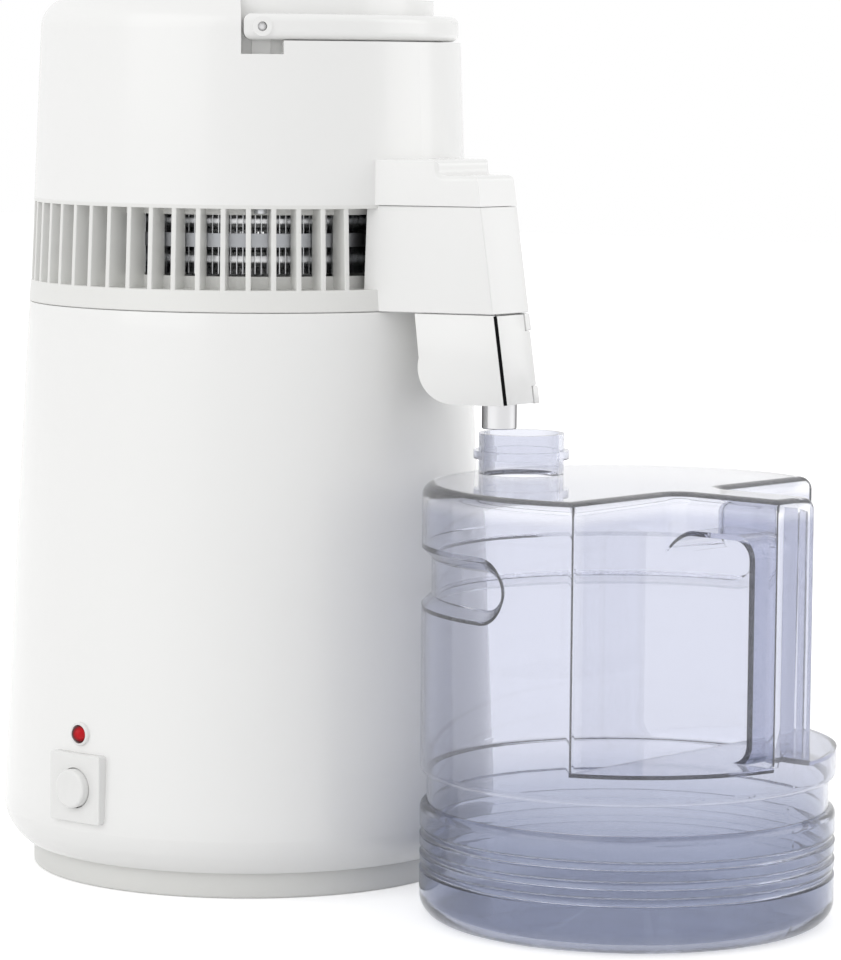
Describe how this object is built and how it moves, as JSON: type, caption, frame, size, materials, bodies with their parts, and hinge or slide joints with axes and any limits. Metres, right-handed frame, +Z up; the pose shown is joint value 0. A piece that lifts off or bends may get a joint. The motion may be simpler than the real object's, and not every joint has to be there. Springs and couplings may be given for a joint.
{
  "type": "water distiller",
  "caption": "Countertop water distiller: tapered round boiler, vented lift-off head with folding handle and spout, and a clear collection jug under the nozzle.",
  "frame": {"origin": "on the boiler's axis, at the level that the boiler and the jug stand on", "axes": "+Z up, +X from the boiler's axis along the spout towards the jug, control panel on the -Y side"},
  "size_m": [0.4109, 0.2311, 0.394],
  "materials": {
    "housing_white": "smooth white moulding",
    "vent_white": "smooth white moulding",
    "foot_white": "fine satin white moulding",
    "button_white": "smooth white moulding",
    "lamp_red": "red translucent",
    "dark_plastic": "black moulding",
    "stainless": "drawn stainless",
    "bright_tube": "polished stainless",
    "fin_aluminium": "plain aluminium",
    "zinc_steel": "zinc-plated",
    "silicone": "translucent silicone",
    "fan_plastic": "dark grey moulding",
    "motor_steel": "black lacquer",
    "cup_plastic": "white moulding",
    "sachet_fabric": "white fibre pouch",
    "jug_clear": "clear blue-tinted plastic",
    "ceramic": "ceramic and phenolic"
  },
  "bodies": {
    "boiler": {"boiler_shell": "housing_white", "base_pan": "foot_white", "pan_screws": "zinc_steel", "boil_tank": "stainless", "heat_spreader": "fin_aluminium", "heating_element": "fin_aluminium", "heater_clamp": "zinc_steel", "clamp_nut": "zinc_steel", "control_thermostat": "ceramic", "safety_thermostat": "ceramic", "thermal_fuse": "ceramic", "terminal_block": "cup_plastic", "switch_plate": "button_white", "button_spring": "zinc_steel", "switch_body": "dark_plastic", "lamp_bezel": "button_white", "lamp_lens": "lamp_red", "lamp_body": "dark_plastic", "boiler_inlet": "dark_plastic"},
    "button": {"power_button": "button_white"},
    "head": {"vent_ring": "vent_white", "top_shell": "housing_white", "intake_grille": "housing_white", "head_screws": "zinc_steel", "head_inlet": "dark_plastic", "spout_hood": "housing_white", "door_pin": "zinc_steel", "nozzle": "bright_tube", "filter_cup": "cup_plastic", "charcoal_sachet": "sachet_fabric", "dome_gasket": "silicone", "steam_dome": "stainless", "condenser_coil": "fin_aluminium", "coil_band": "bright_tube", "fan_motor": "motor_steel", "motor_bracket": "zinc_steel", "bracket_screws": "zinc_steel", "handle_pins": "stainless"},
    "fan": {"fan_rotor": "fan_plastic", "fan_shaft": "stainless"},
    "handle": {"carry_handle": "housing_white"},
    "door": {"filter_door": "housing_white"},
    "jug": {"collection_jug": "jug_clear"}
  },
  "joints": [
    {"name": "head_lift", "type": "slide", "parent": "boiler", "child": "head", "axis": [0, 0, 1], "range_m": [0, 0.15]},
    {"name": "jug_draw", "type": "slide", "parent": "boiler", "child": "jug", "axis": [1, 0, 0], "range_m": [0, 0.12]},
    {"name": "handle_fold", "type": "hinge", "parent": "head", "child": "handle", "pos_m": [0, 0, 0.3812], "axis": [0.6691, -0.7431, 0], "range_deg": [0, 95]},
    {"name": "fan_spin", "type": "hinge", "parent": "head", "child": "fan", "pos_m": [0, 0, 0.323], "axis": [0, 0, 1], "continuous": true},
    {"name": "power_press", "type": "slide", "parent": "boiler", "child": "button", "axis": [0.0523, 0.9986, 0], "range_m": [0, 0.0025], "stiffness_N_per_m": 900, "springref_m": -0.0015, "deforming": ["button_spring"]},
    {"name": "door_swing", "type": "hinge", "parent": "head", "child": "door", "pos_m": [0.14762, 0.0118, 0.238], "axis": [-0.1532, 0, 0.9882], "range_deg": [0, 100]}
  ]
}
